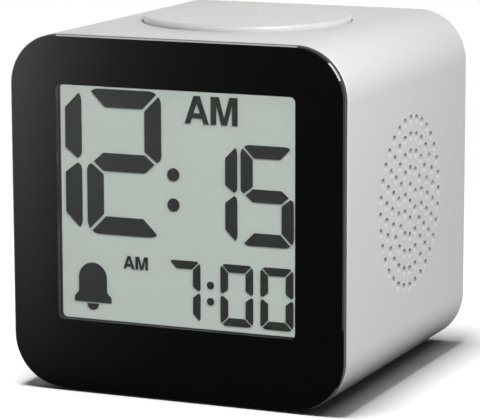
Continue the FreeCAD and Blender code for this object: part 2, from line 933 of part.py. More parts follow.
def make_talk_button():
    disc = rod_z(button_radius, button_bottom_z, button_top_z, 0, case_middle_y)
    disc = disc.makeFillet(button_round, edges_at(disc, Z_AXIS, button_top_z))
    flange = rod_z(
        button_radius + button_gap + button_flange_width, button_bottom_z, button_flange_top_z, 0,
        case_middle_y
    )
    hollow = rod_z(
        button_radius - button_side_wall, button_bottom_z - overrun, button_ceiling_z, 0, case_middle_y
    )
    cap = fuse([disc, flange]).cut(hollow)
    stem = rod_z(stem_radius, talk_plunger_top_z, button_ceiling_z + button_top_wall / 2, 0, case_middle_y)
    pegs = [
        rod_z(
            spring_peg_radius, button_ceiling_z - spring_peg_length, button_ceiling_z + button_top_wall / 2,
            x, y
        )
        for x, y in spring_places()
    ]
    return fuse([cap, stem] + pegs)


def spring_places():
    places = []
    for number in range(spring_count):
        angle = math.pi / 2 + 2 * math.pi * number / spring_count
        places.append(
            (spring_circle_radius * math.cos(angle), case_middle_y + spring_circle_radius * math.sin(angle))
        )
    return places


def half_arc(start, control, end):
    """The arc from start to end whose end tangents meet at control."""
    chord_half = (end - start).Length / 2
    reach = (control - start).Length
    foot = (start + end) * 0.5
    rise = control - foot
    if rise.Length < straight_share * reach:
        return Part.makeLine(start, end)
    sagitta = chord_half * math.sqrt((reach - chord_half) / (reach + chord_half))
    return Part.Arc(start, foot + rise * (sagitta / rise.Length), end).toShape()


def two_arcs(start, start_way, end, end_way):
    """Two arcs that join two points with given directions and meet with one tangent."""
    span = end - start
    square = 2 * (1 - start_way.dot(end_way))
    linear = 2 * span.dot(start_way + end_way)
    reach = (-linear + math.sqrt(linear * linear + 4 * square * span.dot(span))) / (2 * square)
    first = start + start_way * reach
    second = end - end_way * reach
    joint = (first + second) * 0.5
    return [half_arc(start, first, joint), half_arc(joint, second, end)]


def coil(wire_radius, radius_start, radius_end, length, turns):
    """A coil spring on the Z axis from z = 0 to z = length, as one unbroken tube on pairs of arcs."""
    rise = length - 2 * wire_radius

    def place(turn):
        share = turn / turns
        radius = radius_start + (radius_end - radius_start) * share
        angle = 2 * math.pi * turn
        return Vector(radius * math.cos(angle), radius * math.sin(angle), wire_radius + rise * share)

    def way(turn):
        angle = 2 * math.pi * turn
        radius = radius_start + (radius_end - radius_start) * turn / turns
        growth = (radius_end - radius_start) / turns
        along = 2 * math.pi * radius
        heading = Vector(
            growth * math.cos(angle) - along * math.sin(angle),
            growth * math.sin(angle) + along * math.cos(angle),
            rise / turns,
        )
        return heading.normalize()

    edges = []
    halves = 2 * turns
    for number in range(halves):
        here = number / 2
        there = (number + 1) / 2
        edges += two_arcs(place(here), way(here), place(there), way(there))
    return tube(edges, wire_radius, place(0), way(0))


def tube(edges, radius, start, start_way):
    """A round tube along a chain of lines and arcs."""
    section = Part.Wire([Part.makeCircle(radius, start, start_way)])
    return Part.Wire(edges).makePipeShell([section], True, False)


def print_coil_gap(name, wire_radius, radius_start, radius_end, length, turns):
    """Prints the least gap between neighbouring turns of a coil, measured on points."""
    rise = (length - 2 * wire_radius) / turns
    shrink = (radius_end - radius_start) / turns
    print(name, "least gap between turns", round(math.hypot(rise, shrink) - 2 * wire_radius, 3))


def make_return_springs():
    length = button_ceiling_z - carrier_top_z
    radius = spring_peg_radius + spring_peg_gap + spring_wire_radius
    print_coil_gap("return_springs", spring_wire_radius, radius, radius, length, spring_turns)
    spring = coil(spring_wire_radius, radius, radius, length, spring_turns)
    springs = []
    for x, y in spring_places():
        copy = spring.copy()
        copy.translate(Vector(x, y, carrier_top_z))
        springs.append(copy)
    return Part.makeCompound(springs)


def make_button_carrier():
    plate = block(
        -carrier_width / 2, carrier_width / 2,
        case_middle_y - carrier_length / 2, case_middle_y + carrier_length / 2,
        carrier_bottom_z, carrier_top_z,
    )
    plate = plate.makeFillet(
        carrier_corner, [edge for edge in plate.Edges if edge_runs_along(edge, Z_AXIS)]
    )
    pegs = [
        rod_z(
            spring_peg_radius, carrier_top_z - carrier_thickness / 2, carrier_top_z + spring_peg_length, x,
            y
        )
        for x, y in spring_places()
    ]
    holes = [
        rod_z(screw_shank_radius + running_gap, carrier_bottom_z - overrun, carrier_top_z + overrun, x, y)
        for x, y in carrier_posts
    ]
    return fuse([plate] + pegs).cut(Part.makeCompound(holes))


def push_switch_body():
    """A push switch on the Z axis, standing on z = 0, with the bore that its plunger slides in."""
    body = Part.makeBox(
        switch_side, switch_side, switch_height, Vector(-switch_side / 2, -switch_side / 2, 0)
    )
    body = body.makeChamfer(switch_edge_round, edges_at(body, Z_AXIS, switch_height))
    bore = Part.makeCylinder(switch_plunger_radius + running_gap, switch_height, Vector(0, 0, switch_floor))
    return body.cut(bore)


def push_switch_plunger(travel):
    """The plunger of such a switch, with room under it for its travel."""
    low = switch_floor + travel + running_gap
    high = switch_height + switch_plunger_rise
    return Part.makeCylinder(switch_plunger_radius, high - low, Vector(0, 0, low))


def placed(shape, place, direction):
    copy = shape.copy()
    copy.Placement = FreeCAD.Placement(place, FreeCAD.Rotation(Z_AXIS, direction))
    return copy


def key_places():
    """Each key's name and its place across the cover."""
    middle = (len(key_names) - 1) / 2
    return [(name, (number - middle) * key_pitch) for number, name in enumerate(key_names)]


key_plunger_top_y = key_board_back_y + switch_height + switch_plunger_rise


def make_key(x):
    cap = rod_y(
        key_radius, cover_inner_y - running_gap - key_flange_thickness, cover_face_y + key_rise, x,
        key_row_z
    )
    cap = cap.makeFillet(key_round, edges_at(cap, Y_AXIS, cover_face_y + key_rise))
    flange = rod_y(
        key_flange_radius, cover_inner_y - running_gap - key_flange_thickness,
        cover_inner_y - running_gap, x, key_row_z,
    )
    stem = rod_y(switch_plunger_radius, key_plunger_top_y, cover_inner_y, x, key_row_z)
    return fuse([cap, flange, stem])


def make_key_board():
    board = centred_block(key_board_width, key_board_height, key_board_y, key_board_back_y, 0, key_board_z)
    holes = [
        rod_y(screw_shank_radius + running_gap, key_board_y - overrun, key_board_back_y + overrun, x, z)
        for x, z in key_posts
    ]
    return board.cut(Part.makeCompound(holes))


def make_alarm_switch_body():
    body = centred_block(
        slider_body_length, slider_body_width, key_board_back_y, key_board_back_y + slider_body_height, 0,
        slider_z
    )
    slot = centred_block(
        slider_tongue_length + slider_travel + 2 * slider_gap, slider_tongue_width + 2 * slider_gap,
        key_board_back_y + slider_body_floor, key_board_back_y + slider_body_height + overrun, 0, slider_z,
    )
    return body.cut(slot)


def make_alarm_switch_knob():
    """The knob at the left end of its slot."""
    x = -slider_travel / 2
    grip_top = cover_face_y + slider_rise
    flange_top = cover_inner_y - running_gap
    grip = centred_block(
        slider_length, slider_width, flange_top - slider_flange_thickness, grip_top, x, slider_z
    )
    flange = centred_block(
        slider_flange_length, slider_flange_width, flange_top - slider_flange_thickness, flange_top, x,
        slider_z
    )
    tongue = centred_block(
        slider_tongue_length, slider_tongue_width,
        key_board_back_y + slider_body_floor + slider_gap, flange_top, x, slider_z,
    )
    rib_pitch = slider_length / slider_rib_count
    ribs = []
    for number in range(slider_rib_count):
        rib_x = x - slider_length / 2 + (number + 1 / 2) * rib_pitch
        ribs.append(
            centred_block(
                rib_pitch / 2, slider_width, grip_top - slider_rise, grip_top + slider_rib_height, rib_x,
                slider_z
            )
        )
    return fuse([grip, flange, tongue] + ribs)


def make_rear_cover():
    cover = rounded_slab(
        inner_width - 2 * fit_gap, inner_height - 2 * fit_gap, inner_radius - fit_gap, cover_inner_y,
        cover_face_y
    )
    posts = [
        rod_y(cover_post_radius, key_board_back_y, cover_inner_y + cover_thickness / 2, x, z) for x,
        z in key_posts
    ]
    whole = fuse([cover] + posts)
    through = (cover_inner_y - overrun, cover_face_y + overrun)
    cuts = [rod_y(key_radius + key_gap, *through, x, key_row_z) for name, x in key_places()]
    cuts.append(
        centred_block(
            slider_length + slider_travel + 2 * slider_gap, slider_width + 2 * slider_gap, *through, 0,
            slider_z
        )
    )
    cuts.append(
        block(-bay_inner_length / 2, bay_inner_length / 2, *through, bay_inner_bottom_z, bay_inner_top_z)
    )
    for x, z in four_places(corner_boss_x, corner_boss_z):
        cuts.append(rod_y(screw_shank_radius + running_gap, *through, x, z))
    for x, z in key_posts:
        cuts.append(pilot(Vector(x, key_board_y, z), Y_AXIS))
    return whole.cut(Part.makeCompound(cuts))


def make_battery_door():
    half = bay_inner_length / 2 - door_gap
    door = block(-half, half, cover_inner_y, cover_face_y, door_bottom_z, door_top_z)
    tabs = []
    for side in (-1, 1):
        x = side * door_tab_spacing / 2
        tabs.append(
            block(
                x - door_tab_width / 2, x + door_tab_width / 2,
                cover_inner_y - door_gap - door_tab_thickness, cover_inner_y - door_gap,
                door_bottom_z - door_tab_drop, door_bottom_z + door_tab_hold,
            )
        )
        tabs.append(
            block(
                x - door_tab_width / 2, x + door_tab_width / 2,
                cover_inner_y - door_gap - door_tab_thickness, cover_inner_y,
                door_bottom_z, door_bottom_z + door_tab_hold,
            )
        )
    grips = []
    for number in range(door_grip_count):
        z = door_top_z - door_grip_drop - number * door_grip_pitch
        grips.append(
            centred_block(
                door_grip_width, door_grip_height, cover_face_y - door_grip_depth, cover_face_y + overrun,
                0, z
            )
        )
    return fuse([door] + tabs).cut(Part.makeCompound(grips))


def make_battery_tray():
    outer = block(
        -bay_inner_length / 2 - bay_wall, bay_inner_length / 2 + bay_wall,
        bay_floor_y - bay_wall, cover_inner_y, bay_inner_bottom_z - bay_wall, bay_inner_top_z + bay_wall,
    )
    bay = block(
        -bay_inner_length / 2, bay_inner_length / 2, bay_floor_y, cover_inner_y + overrun,
        bay_inner_bottom_z, bay_inner_top_z,
    )
    tray = outer.cut(bay)
    notch_depth = door_tab_thickness + door_tab_drop + 2 * door_gap
    for side in (-1, 1):
        tray = tray.cut(
            centred_block(
                door_tab_width + 2 * door_gap, 2 * bay_wall, cover_inner_y - notch_depth,
                cover_inner_y + overrun,
                side * door_tab_spacing / 2, bay_inner_bottom_z - bay_wall,
            )
        )
    return tray


def battery(z, plus_side):
    """One cell lying across the bay: plus_side is 1 where its nub points to +X."""
    plus_x = plus_side * (bay_inner_length / 2 - contact_thickness)
    shoulder_x = plus_x - plus_side * battery_nub_length
    end_x = shoulder_x - plus_side * battery_length
    can = rod(battery_radius, Vector(end_x, battery_y, z), Vector(shoulder_x, battery_y, z))
    can = can.makeFillet(battery_round, edges_at(can, X_AXIS, end_x) + edges_at(can, X_AXIS, shoulder_x))
    nub = rod(
        battery_nub_radius, Vector(shoulder_x - plus_side * battery_round, battery_y, z),
        Vector(plus_x, battery_y, z)
    )
    return fuse([can, nub])


def make_battery_springs():
    springs = []
    print_coil_gap(
        "battery_springs", battery_spring_wire, battery_spring_wide, battery_spring_narrow,
        battery_spring_length, battery_spring_turns,
    )
    shape = coil(
        battery_spring_wire, battery_spring_wide, battery_spring_narrow, battery_spring_length,
        battery_spring_turns
    )
    for z, plus_side in ((upper_battery_z, 1), (lower_battery_z, -1)):
        x = -plus_side * (bay_inner_length / 2 - contact_thickness)
        springs.append(placed(shape, Vector(x, battery_y, z), X_AXIS * plus_side))
    return Part.makeCompound(springs)


def make_battery_contacts():
    """One plate joins both cells on the left, two single plates stand on the right."""
    half = bay_inner_length / 2
    y_low = battery_y - contact_side / 2
    y_high = battery_y + contact_side / 2
    low = lower_battery_z - contact_side / 2
    high = upper_battery_z + contact_side / 2
    plates = [block(-half, -half + contact_thickness, y_low, y_high, low, high)]
    for z in (lower_battery_z, upper_battery_z):
        plates.append(
            block(half - contact_thickness, half, y_low, y_high, z - contact_side / 2, z + contact_side / 2)
        )
    return Part.makeCompound(plates)


def make_speaker_basket():
    wall = basket_wall
    return turned_about_speaker([
        (speaker_face_x, basket_mouth_radius),
        (speaker_face_x, basket_radius),
        (basket_flange_x, basket_radius),
        (basket_flange_x, basket_mouth_radius + wall),
        (basket_back_x, basket_back_radius + wall),
        (basket_back_x, plate_hole_radius + wall),
        (basket_back_x + wall, plate_hole_radius + wall),
        (basket_back_x + wall, basket_back_radius),
        (basket_flange_x, basket_mouth_radius),
    ])


cone_front_x = basket_flange_x
cone_back_x = cone_front_x - cone_depth


def make_speaker_cone():
    return turned_about_speaker([
        (cone_front_x, cone_wide_radius),
        (cone_front_x - cone_thickness, cone_wide_radius),
        (cone_back_x - cone_thickness, cone_narrow_radius + coil_thickness),
        (cone_back_x - cone_thickness, coil_radius + coil_thickness),
        (cone_back_x, coil_radius + coil_thickness),
    ])


def make_voice_coil():
    return turned_about_speaker([
        (cone_back_x, coil_radius),
        (cone_back_x, coil_radius + coil_thickness),
        (cone_back_x - coil_length, coil_radius + coil_thickness),
        (cone_back_x - coil_length, coil_radius),
    ])


def make_dust_cap():
    """A shallow dome whose rim stands on the cone."""
    rim = cone_narrow_radius + coil_thickness
    base = cone_back_x + cone_thickness
    sphere_radius = (rim * rim + dust_cap_height * dust_cap_height) / (2 * dust_cap_height)
    outer = Part.makeSphere(sphere_radius)
    outer.translate(Vector(base + dust_cap_height - sphere_radius, case_middle_y, middle_z))
    inner = Part.makeSphere(sphere_radius - cone_thickness)
    inner.translate(Vector(base + dust_cap_height - sphere_radius, case_middle_y, middle_z))
    cap = rod_x(rim, base, base + dust_cap_height + overrun, case_middle_y, middle_z)
    return outer.cut(inner).common(cap)


def make_speaker_surround():
    """A half-round roll between the cone's rim and the basket's flange."""
    half = surround_width / 2
    middle = cone_wide_radius + half
    inner = half - surround_thickness
    low = cone_front_x
    high = low + surround_height
    edges = [
        Part.Arc(
            Vector(low, middle - half, 0), Vector(high, middle, 0), Vector(low, middle + half, 0)
        ).toShape(),
        Part.makeLine(Vector(low, middle + half, 0), Vector(low, middle + inner, 0)),
        Part.Arc(
            Vector(low, middle + inner, 0), Vector(
                high - surround_thickness, middle, 0
            ), Vector(low, middle - inner, 0)
        ).toShape(),
        Part.makeLine(Vector(low, middle - inner, 0), Vector(low, middle - half, 0)),
    ]
    roll = Part.Face(Part.Wire(edges)).revolve(Vector(0, 0, 0), X_AXIS, 360)
    roll.translate(Vector(0, case_middle_y, middle_z))
    return roll


def speaker_ring(outer_radius, inner_radius, x_low, x_high):
    ring = rod_x(outer_radius, x_low, x_high, case_middle_y, middle_z)
    return ring.cut(rod_x(inner_radius, x_low - overrun, x_high + overrun, case_middle_y, middle_z))


def make_speaker_yoke():
    disc = rod_x(magnet_radius, yoke_x, magnet_x, case_middle_y, middle_z)
    pole = rod_x(pole_radius, magnet_x - yoke_thickness / 2, basket_back_x, case_middle_y, middle_z)
    return fuse([disc, pole])


def make_speaker_clamp():
    inside = basket_radius - clamp_ring_wall
    ring = speaker_ring(basket_radius, inside, clamp_back_x, basket_flange_x)
    plate = speaker_ring(basket_radius + clamp_ring_wall, inside, clamp_back_x, speaker_boss_x)
    ears = [rod_x(clamp_ear_radius, clamp_back_x, speaker_boss_x, y, z) for y, z in speaker_posts]
    links = []
    for y, z in speaker_posts:
        middle = Vector(clamp_back_x, case_middle_y, middle_z)
        out = Vector(clamp_back_x, y, z) - middle
        link = Part.makeBox(
            out.Length - inside - clamp_ring_wall / 2, 2 * clamp_ear_radius, clamp_plate_thickness
        )
        link.translate(Vector(inside + clamp_ring_wall / 2, -clamp_ear_radius, 0))
        angle = math.degrees(math.atan2(out.z, out.y))
        link.rotate(Vector(0, 0, 0), Z_AXIS, angle)
        link.Placement = FreeCAD.Placement(
            middle, FreeCAD.Rotation(Y_AXIS, Z_AXIS, X_AXIS)
        ).multiply(link.Placement)
        links.append(link)
    whole = fuse([ring, plate] + ears + links)
    holes = [
        rod_x(screw_shank_radius + running_gap, clamp_back_x - overrun, inner_side_x, y, z) for y,
        z in speaker_posts
    ]
    return whole.cut(Part.makeCompound(holes))


def rounded_route(points, radius):
    """Straight runs joined by tangent arcs of one radius."""
    edges = []
    here = points[0]
    for number in range(1, len(points) - 1):
        corner = points[number]
        before = (corner - points[number - 1]).normalize()
        after = (points[number + 1] - corner).normalize()
        turn = before.getAngle(after)
        trim = radius * math.tan(turn / 2)
        start = corner - before * trim
        end = corner + after * trim
        edges.append(Part.makeLine(here, start))
        edges.append(half_arc(start, corner, end))
        here = end
    edges.append(Part.makeLine(here, points[-1]))
    return edges


def lead(name, points):
    edges = rounded_route(points, lead_bend)
    shape = tube(edges, lead_radius, points[0], points[1] - points[0])
    length = sum(edge.Length for edge in edges)
    share = shape.Volume / (math.pi * lead_radius * lead_radius * length)
    print(name, "length", round(length, 1), "volume against section times length", round(share, 4))
    return shape


def make_speaker_leads():
    """Two wires from the basket's back, over the magnet, to the display board."""
    wires = []
    for side in (-1, 1):
        y = case_middle_y - magnet_radius - 2 * lead_radius
        z = middle_z + side * lead_spacing
        x = yoke_x - 2 * lead_bend + side * lead_spacing
        wires.append(
            lead(
                "speaker_leads", [Vector(basket_back_x, y, z), Vector(x, y, z), Vector(x, board_back_y, z)]
            )
        )
    return Part.makeCompound(wires)


def make_battery_leads():
    """Two wires from the tray's floor straight forward to the display board."""
    wires = []
    for side in (-1, 1):
        x = side * lead_spacing - bay_inner_length / 2 + contact_side
        low_z = lower_battery_z
        high_z = low_z + 2 * lead_bend + lead_spacing
        middle_y = (board_back_y + bay_floor_y - bay_wall) / 2
        wires.append(
            lead(
                "battery_leads",
                [
                    Vector(x, bay_floor_y - bay_wall, low_z),
                    Vector(x, middle_y, low_z),
                    Vector(x, middle_y, high_z),
                    Vector(x, board_back_y, high_z),
                ],
            )
        )
    return Part.makeCompound(wires)


def make_inner_screws():
    screws = [
        screw(Vector(x, board_back_y, z), -Y_AXIS, screw_length, screw_head_radius) for x, z in plate_posts
    ]
    screws += [
        screw(Vector(x, key_board_y, z), Y_AXIS, screw_length, screw_head_radius) for x, z in key_posts
    ]
    screws += [
        screw(Vector(x, y, carrier_bottom_z), Z_AXIS, screw_length, screw_head_radius) for x,
        y in carrier_posts
    ]
    screws += [
        screw(Vector(clamp_back_x, y, z), X_AXIS, screw_length, screw_head_radius) for y, z in speaker_posts
    ]
    return Part.makeCompound(screws)


def make_rear_screws():
    return Part.makeCompound([
        screw(Vector(x, cover_face_y, z), -Y_AXIS, rear_screw_length, rear_screw_head_radius)
        for x, z in four_places(corner_boss_x, corner_boss_z)
    ])


# The case, the front and the feet
save("case_shell", make_case_shell())
save("front_plate", make_front_plate())
save("window_lens", make_window_lens())
for foot_name, x, y in foot_places():
    foot = rod_z(foot_radius, 0, foot_height + foot_pocket, x, y)
    save(foot_name, foot.makeFillet(foot_round, edges_at(foot, Z_AXIS, 0)))

# The display
save("display_frame", make_display_frame())
save(
    "front_polariser",
    centred_block(rear_glass_width, rear_glass_height, polariser_y, front_glass_y, 0, window_z)
)
save(
    "lcd_front_glass",
    centred_block(rear_glass_width, front_glass_height, front_glass_y, cell_y, 0, window_z)
)
save("lcd_segments", make_lcd_segments())
save(
    "lcd_rear_glass", centred_block(rear_glass_width, rear_glass_height, rear_glass_y, film_y, 0, window_z)
)
save("reflector_film", centred_block(rear_glass_width, rear_glass_height, film_y, guide_y, 0, window_z))
save("light_guide", make_light_guide())
save("backlight_leds", make_backlight_leds())
save("zebra_strips", make_zebra_strips())

# The display board
save("display_board", make_display_board())
save(
    "clock_chip",
    centred_block(
        chip_side, chip_side, board_back_y, board_back_y + chip_height, -chip_side / 2, middle_z + chip_side
    ),
)
save(
    "voice_chip",
    centred_block(
        voice_chip_side, voice_chip_side, board_back_y, board_back_y + chip_height, -chip_side / 2,
        middle_z - chip_side / 2
    ),
)
save(
    "quartz_crystal",
    centred_block(
        crystal_length, crystal_width, board_back_y, board_back_y + crystal_height,
        chip_side, middle_z + chip_side + crystal_width,
    ),
)
save("capacitors", make_capacitors())
save("ribbon_cable", make_ribbon_cable())

# The talk button
save("talk_button", make_talk_button())
save("return_springs", make_return_springs())
save("button_carrier", make_button_carrier())
save(
    "talk_board",
    block(
        -talk_board_width / 2, talk_board_width / 2,
        case_middle_y - talk_board_length / 2, case_middle_y + talk_board_length / 2,
        carrier_top_z, talk_board_top_z,
    ),
)
talk_switch_place = Vector(0, case_middle_y, talk_board_top_z)
save("talk_switch", placed(push_switch_body(), talk_switch_place, Z_AXIS))
save("talk_switch_plunger", placed(push_switch_plunger(button_travel), talk_switch_place, Z_AXIS))

# The back
save("rear_cover", make_rear_cover())
save("rear_screws", make_rear_screws())
save("battery_door", make_battery_door())
save("key_board", make_key_board())
key_switch_bodies = []
for key_name, key_x in key_places():
    key_switch_place = Vector(key_x, key_board_back_y, key_row_z)
    key_switch_bodies.append(placed(push_switch_body(), key_switch_place, Y_AXIS))
    save(key_name + "_key", make_key(key_x))
    save(key_name + "_key_plunger", placed(push_switch_plunger(key_travel), key_switch_place, Y_AXIS))
save("key_switches", Part.makeCompound(key_switch_bodies))
save("alarm_switch_body", make_alarm_switch_body())
save("alarm_switch_knob", make_alarm_switch_knob())

# The loudspeaker
save("speaker_basket", make_speaker_basket())
save("speaker_cone", make_speaker_cone())
save("speaker_surround", make_speaker_surround())
save("dust_cap", make_dust_cap())
save("voice_coil", make_voice_coil())
save(
    "speaker_top_plate",
    speaker_ring(magnet_radius - basket_wall, plate_hole_radius, top_plate_x, basket_back_x)
)
save("speaker_magnet", speaker_ring(magnet_radius, magnet_hole_radius, magnet_x, top_plate_x))
save("speaker_yoke", make_speaker_yoke())
save("speaker_clamp", make_speaker_clamp())

# Power and leads
save("battery_tray", make_battery_tray())
save("battery_upper", battery(upper_battery_z, 1))
save("battery_lower", battery(lower_battery_z, -1))
save("battery_springs", make_battery_springs())
save("battery_contacts", make_battery_contacts())
save("speaker_leads", make_speaker_leads())
save("battery_leads", make_battery_leads())

# Small screws
save("inner_screws", make_inner_screws())

print("nodes", len([name for name in os.listdir("parts") if name.endswith(".step")]))
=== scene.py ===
"""Looks of a free-standing talking clock: a white cube case with a glossy black front plate, a liquid
crystal display, a round talk button on top, a drilled grille on the side and keys at the back.
Metres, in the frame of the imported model."""
import math

import bmesh
import bpy
import numpy as np
from mathutils import Matrix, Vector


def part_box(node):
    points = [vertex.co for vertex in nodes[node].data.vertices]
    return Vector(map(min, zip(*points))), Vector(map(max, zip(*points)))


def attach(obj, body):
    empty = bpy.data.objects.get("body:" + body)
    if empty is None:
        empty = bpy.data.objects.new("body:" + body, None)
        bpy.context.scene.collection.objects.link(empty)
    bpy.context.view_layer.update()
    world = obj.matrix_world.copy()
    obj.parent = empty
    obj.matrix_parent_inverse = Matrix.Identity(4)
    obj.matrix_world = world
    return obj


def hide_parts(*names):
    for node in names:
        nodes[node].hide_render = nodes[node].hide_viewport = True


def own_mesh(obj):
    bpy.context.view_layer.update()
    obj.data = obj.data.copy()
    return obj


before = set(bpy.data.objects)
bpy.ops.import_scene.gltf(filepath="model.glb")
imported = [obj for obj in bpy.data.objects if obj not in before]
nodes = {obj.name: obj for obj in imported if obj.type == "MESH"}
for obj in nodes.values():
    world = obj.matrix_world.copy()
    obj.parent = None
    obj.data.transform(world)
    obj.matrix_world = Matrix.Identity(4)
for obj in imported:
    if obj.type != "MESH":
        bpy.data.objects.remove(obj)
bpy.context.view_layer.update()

MM = 0.001
X, Y, Z = (1, 0, 0), (0, 1, 0), (0, 0, 1)

# Camera, fitted to the edges of the case
camera_turn = 0.407956906
camera_rise = 0.178555662
camera_roll = -0.00271520108
camera_place = (246.5 * MM, -573.9 * MM, 149.2 * MM)
camera_nearest = 0.01
focal_pixels = 2733
image_width = 480
sensor_width = 36.0

# Lamps: each one's place, its width and height, and its power in watts. All face the middle of the body
body_middle = (0, 0, 40 * MM)
lamps = {
    "key_lamp": ((0.29, -0.21, 0.31), (0.2, 0.2), 2.02),
    "back_lamp": ((-0.3, 1.0, 0.2), (0.5, 0.3), 5.0),
    "left_lamp": ((-1.0, -0.1, 0.2), (0.5, 0.3), 4.0),
    "display_lamp": ((0.3, -0.9, 0.35), (0.6, 0.5), 6.2),
    "floor_lamp": ((-0.05, -0.12, 1.1), (0.3, 0.4), 11.0),
    "floor_fill": ((0.43, -0.12, 1.1), (0.77, 0.4), 1.3),
    "rim_lamp": ((-0.43, -0.24, 1.05), (0.3, 0.3), 2.1),
}
steep_look = 0.9
sky_strength = 0.06
clear_layers = 24

# Floor: half its width, its two whites, and the distances between which its shading fades out
floor_reach = 2.0
floor_white = 1.25
floor_bounce = 0.02
floor_fade_start = 0.16
floor_fade_end = 0.26

# Soft card that lies before the front plate and that the plate mirrors
card_near_left = (-36.0 * MM, -41.5 * MM, 0.2 * MM)
card_near_right = (115.0 * MM, -41.5 * MM, 0.2 * MM)
card_far_left = (-294.0 * MM, -520.0 * MM, 49.0 * MM)
card_far_right = (-5.0 * MM, -520.0 * MM, 49.0 * MM)
card_steps = 60
card_glow = 1.75
card_rise = 0.7
card_fade = 9.5
card_least = 0.02
card_spare = 0.35

# How far a copied point may lie from its double
double_reach = 0.001 * MM

# Skin of the pale film over the face that it shares with the pane before it
film_proud = 0.01 * MM

# Marks that a finger can read
mark_sink = 0.02 * MM
pip_radius = 0.45 * MM
pip_height = 0.25 * MM
pip_pitch = 1.9 * MM
bar_radius = 0.45 * MM
bar_height = 0.14 * MM
bar_pitch = 2.4 * MM
bar_halves = np.array([0.4, 1.4, 2.6, 4.2, 2.6, 1.4, 0.4]) * MM

# Most of a cloudy pattern lies between these
cloud_low = 0.3
cloud_high = 0.7

# A band pattern of scale one repeats after this length
band_length = 0.314


# Shader nodes


def add(tree, kind, settings=None, **inputs):
    """Adds a shader node. An input is a value, or another node's output, which is linked."""
    node = tree.nodes.new("ShaderNode" + kind)
    for name, value in (settings or {}).items():
        setattr(node, name, value)
    for name, value in inputs.items():
        socket = node.inputs[int(name[1:]) if name[1:].isdigit() else name.replace("_", " ")]
        if isinstance(value, bpy.types.NodeSocket):
            tree.links.new(value, socket)
        else:
            socket.default_value = value
    return node


def math_of(tree, operation, first, second=0.0):
    """Output of one arithmetic node."""
    return add(tree, "Math", {"operation": operation}, i0=first, i1=second).outputs[0]


def spread(tree, value, low, high, start=0.0, end=1.0):
    """Maps value from start..end to low..high."""
    names = {"From_Min": start, "From_Max": end, "To_Min": low, "To_Max": high}
    return add(tree, "MapRange", None, Value=value, **names).outputs["Result"]


def clouded(tree, cloud, low, high):
    """Goes from low to high with a cloudy pattern."""
    return spread(tree, cloud, low, high, cloud_low, cloud_high)


def mixed(tree, share, first, second):
    """Colour that goes from first to second with share."""
    node = add(tree, "Mix", {"data_type": "RGBA"}, Factor=share)
    for socket, colour in ((node.inputs[6], first), (node.inputs[7], second)):
        if isinstance(colour, bpy.types.NodeSocket):
            tree.links.new(colour, socket)
        else:
            socket.default_value = (*colour, 1.0)
    return node.outputs[2]


def layered(tree, share, first, second):
    """Shader that goes from first to second with share."""
    return add(tree, "MixShader", None, i0=share, i1=first, i2=second).outputs[0]


def grey(level):
    """Grey of that level, for a colour socket."""
    return (level, level, level, 1.0)


def object_place(tree, scale=(1, 1, 1)):
    """Place on the object in metres, stretched by scale."""
    place = add(tree, "TexCoord").outputs["Object"]
    if scale == (1, 1, 1):
        return place
    return add(tree, "Mapping", None, Vector=place, Scale=scale).outputs["Vector"]


def place_along(tree, place, axis):
    """How far a place lies along one axis."""
    return add(tree, "SeparateXYZ", None, Vector=place).outputs[axis]


def noise(tree, place, size, detail=3.0):
    """Cloudy pattern with features of that size in metres, 0..1."""
    return add(tree, "TexNoise", None, Vector=place, Scale=1 / size, Detail=detail).outputs["Fac"]


def bumps(tree, height, depth, strength=1.0):
    """Normal of a face on which the height pattern stands out by that depth in metres."""
    return add(tree, "Bump", None, Strength=strength, Distance=depth, Height=height).outputs["Normal"]


def new_material(name):
    """An empty node material with its output."""
    material = bpy.data.materials.new(name)
    material.use_nodes = True
    tree = material.node_tree
    tree.nodes.clear()
    return material, tree, add(tree, "OutputMaterial").inputs["Surface"]


def shade(colour, factor):
    """The colour made lighter or darker."""
    return tuple(min(1.0, part * factor) for part in colour)


# Kinds of finish


def surface(name, colour, roughness, grain=0.4 * MM, depth=0.01 * MM, drift=0.03, wander=0.04,
            stretch=(1, 1, 1), **shader_values):
    """A moulded or worked surface: its colour drifts over wide patches, its roughness wanders, and a fine
    grain of that size and depth in metres lies on it, stretched along an axis for a brushed metal."""
    patch = 18 * MM
    patch_share = 0.7
    least_roughness = 0.02
    material, tree, out = new_material(name)
    place = object_place(tree)
    wide = math_of(tree, "MULTIPLY", noise(tree, place, patch, 2.0), patch_share)
    fine = noise(tree, object_place(tree, stretch), grain)
    tone = math_of(tree, "ADD", wide, math_of(tree, "MULTIPLY", fine, 1 - patch_share))
    base = mixed(tree, tone, shade(colour, 1 - drift), shade(colour, 1 + drift))
    rough = clouded(tree, fine, max(roughness - wander, least_roughness), roughness + wander)
    shader = add(tree, "BsdfPrincipled", None, Base_Color=base, Roughness=rough,
                 Normal=bumps(tree, fine, depth), **shader_values)
    tree.links.new(shader.outputs[0], out)
    return material


def metal(name, colour, roughness, stretch=(1, 1, 1), grain=0.25 * MM):
    """Worked metal with a brushed or turned grain."""
    return surface(name, colour, roughness, grain, 0.004 * MM, drift=0.08, wander=0.08,
                   stretch=stretch, Metallic=1.0)


def edge_of_plate(tree):
    """One on the edges of a sheet that faces along Y, zero on its front, its back and their bevels."""
    turned_away = 0.5
    depthwise = place_along(tree, add(tree, "TexCoord").outputs["Normal"], "Y")
    return math_of(tree, "LESS_THAN", math_of(tree, "ABSOLUTE", depthwise), turned_away)


